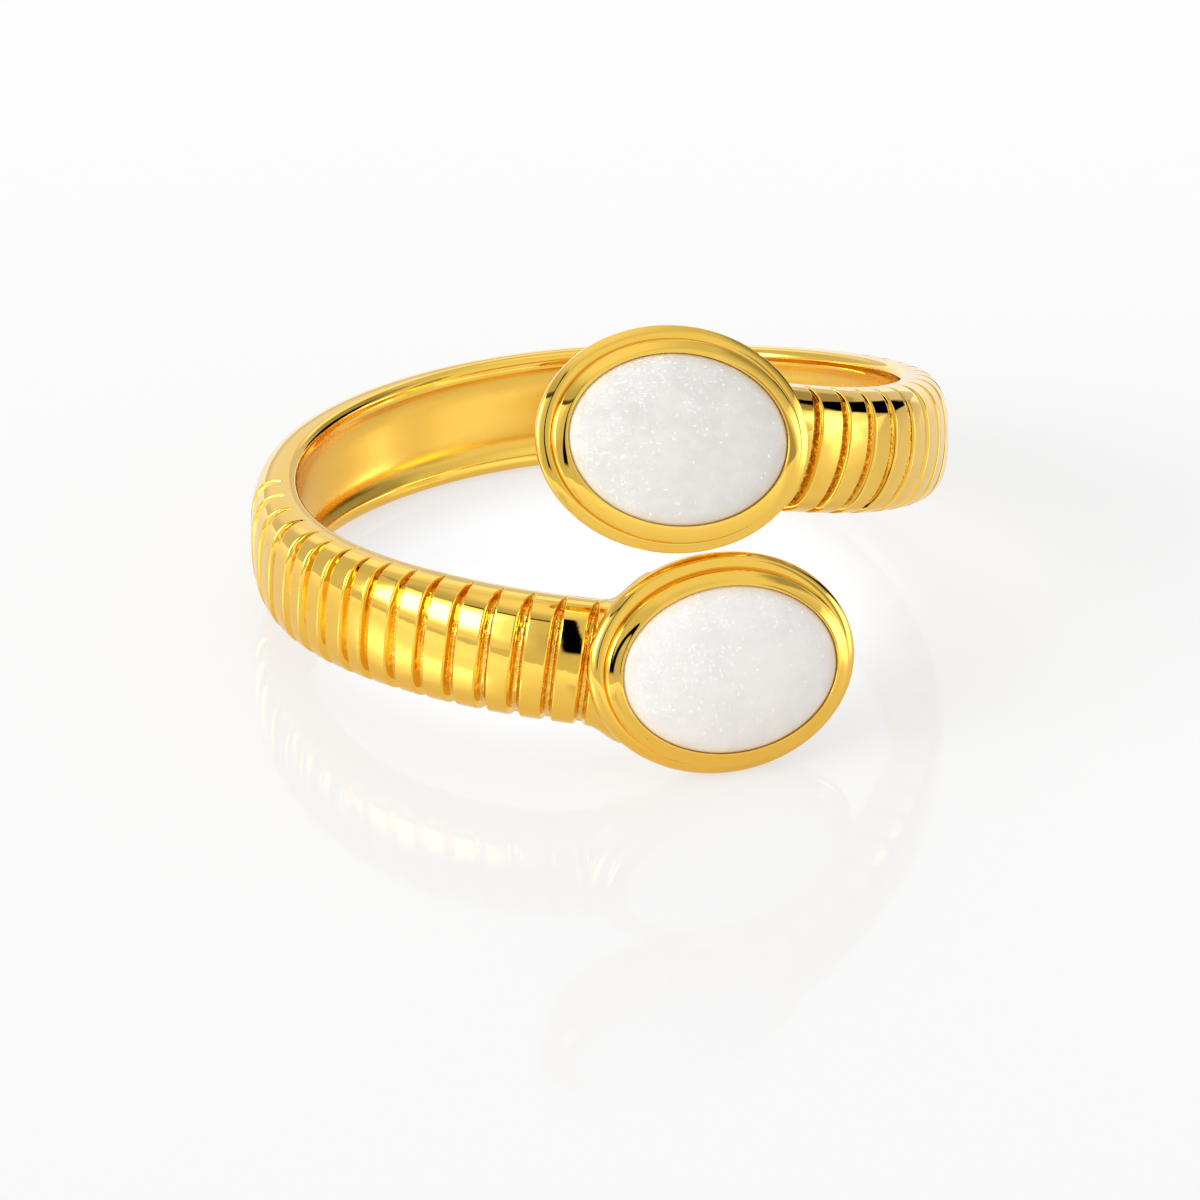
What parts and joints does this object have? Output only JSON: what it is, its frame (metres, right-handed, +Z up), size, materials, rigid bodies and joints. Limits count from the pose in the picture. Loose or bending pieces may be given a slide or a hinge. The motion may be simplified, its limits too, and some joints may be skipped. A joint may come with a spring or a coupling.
{
  "type": "adjustable open ring",
  "caption": "Open bypass finger ring lying on its side: grooved D-section band with an inner channel, its ends passing each other, each carrying an oval bezel setting with a white oval stone.",
  "frame": {"origin": "middle of the ring's footprint on the surface it lies on", "axes": "+Z up from that surface, +Y towards the plain back of the band, -Y towards the two settings, +X along the upper arm's side"},
  "size_m": [0.0202, 0.0213, 0.0123],
  "materials": {
    "gold": "polished gold plate, with a satin inner channel and rough groove floors",
    "white_stone": "polished, milky white with fine glitter"
  },
  "bodies": {
    "root": {"shank": "gold", "upper_stone": "white_stone", "lower_stone": "white_stone"}
  },
  "joints": []
}
